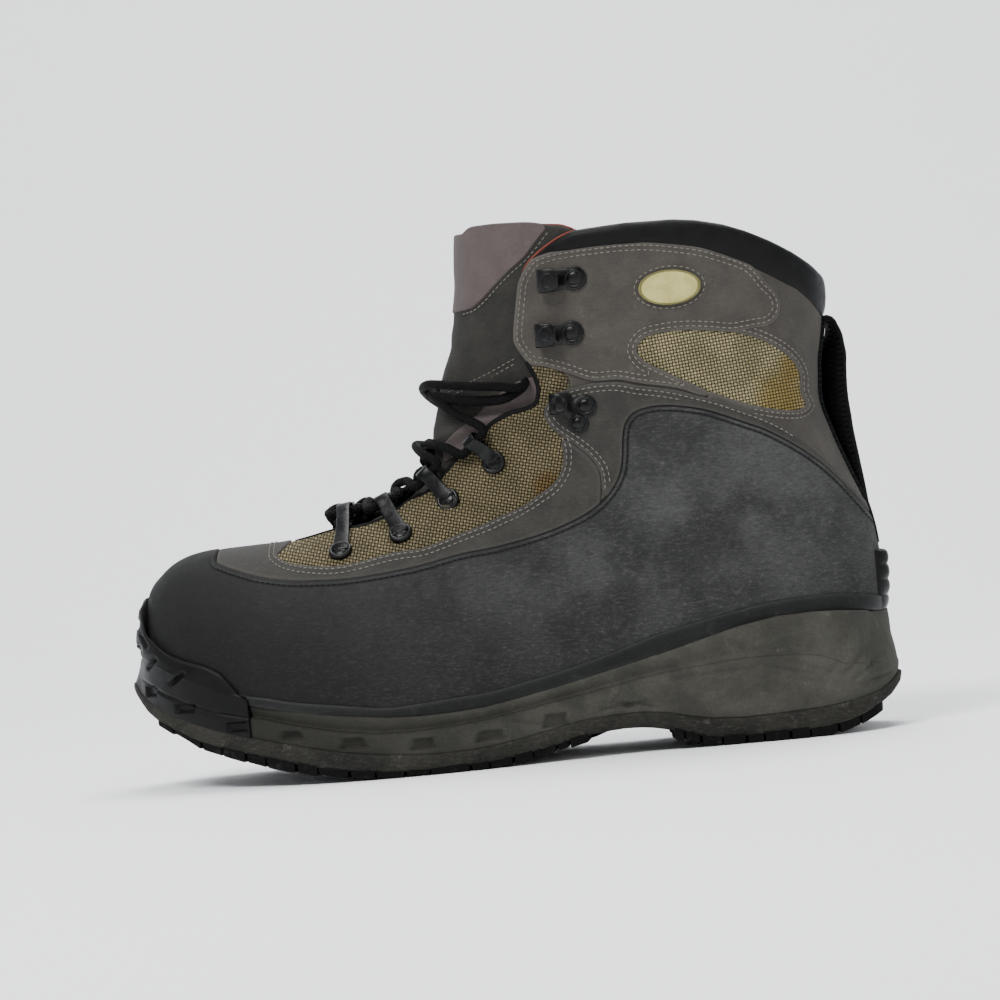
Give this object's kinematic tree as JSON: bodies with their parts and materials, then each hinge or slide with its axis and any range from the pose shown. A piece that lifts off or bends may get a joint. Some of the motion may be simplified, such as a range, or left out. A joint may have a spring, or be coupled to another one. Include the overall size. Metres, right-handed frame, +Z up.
{
  "type": "wading boot",
  "caption": "Ankle high lace-up wading boot with coated lower panel, nubuck and mesh upper, padded collar, toe bumper and lugged sole",
  "frame": {"origin": "middle of the bounding box, on the floor under the sole", "axes": "+X from toe to heel, +Y to the medial side, +Z up"},
  "size_m": [0.3219, 0.1192, 0.2221],
  "materials": {
    "mesh_fabric": "woven mesh",
    "coated_leather": "rubber coated, matt",
    "nubuck": "napped",
    "black_fabric": "padded weave",
    "footbed_fabric": "felted",
    "midsole_foam": "moulded, matt",
    "black_rubber": "moulded, satin",
    "lug_rubber": "moulded, matt",
    "badge_rubber": "moulded, matt",
    "hook_steel": "dark plated",
    "lace_cord": "braided"
  },
  "bodies": {
    "root": {"upper": "mesh_fabric", "rubber_shell": "coated_leather", "vamp_overlay": "nubuck", "ankle_overlay": "nubuck", "collar_panel_lateral": "nubuck", "collar_panel_medial": "nubuck", "collar_pad": "black_fabric", "tongue": "black_fabric", "insole": "footbed_fabric", "midsole": "midsole_foam", "rand": "black_rubber", "toe_bumper": "black_rubber", "heel_bumper": "black_rubber", "outsole": "lug_rubber", "pull_loop": "black_fabric", "badge": "badge_rubber", "lace": "lace_cord", "hook_lateral_1": "hook_steel", "hook_lateral_2": "hook_steel", "triple_hook_lateral": "hook_steel", "loop_lateral_1": "hook_steel", "loop_lateral_2": "hook_steel", "loop_lateral_3": "hook_steel", "loop_lateral_4": "hook_steel", "hook_medial_1": "hook_steel", "hook_medial_2": "hook_steel", "triple_hook_medial": "hook_steel", "loop_medial_1": "hook_steel", "loop_medial_2": "hook_steel", "loop_medial_3": "hook_steel", "loop_medial_4": "hook_steel"}
  },
  "joints": []
}
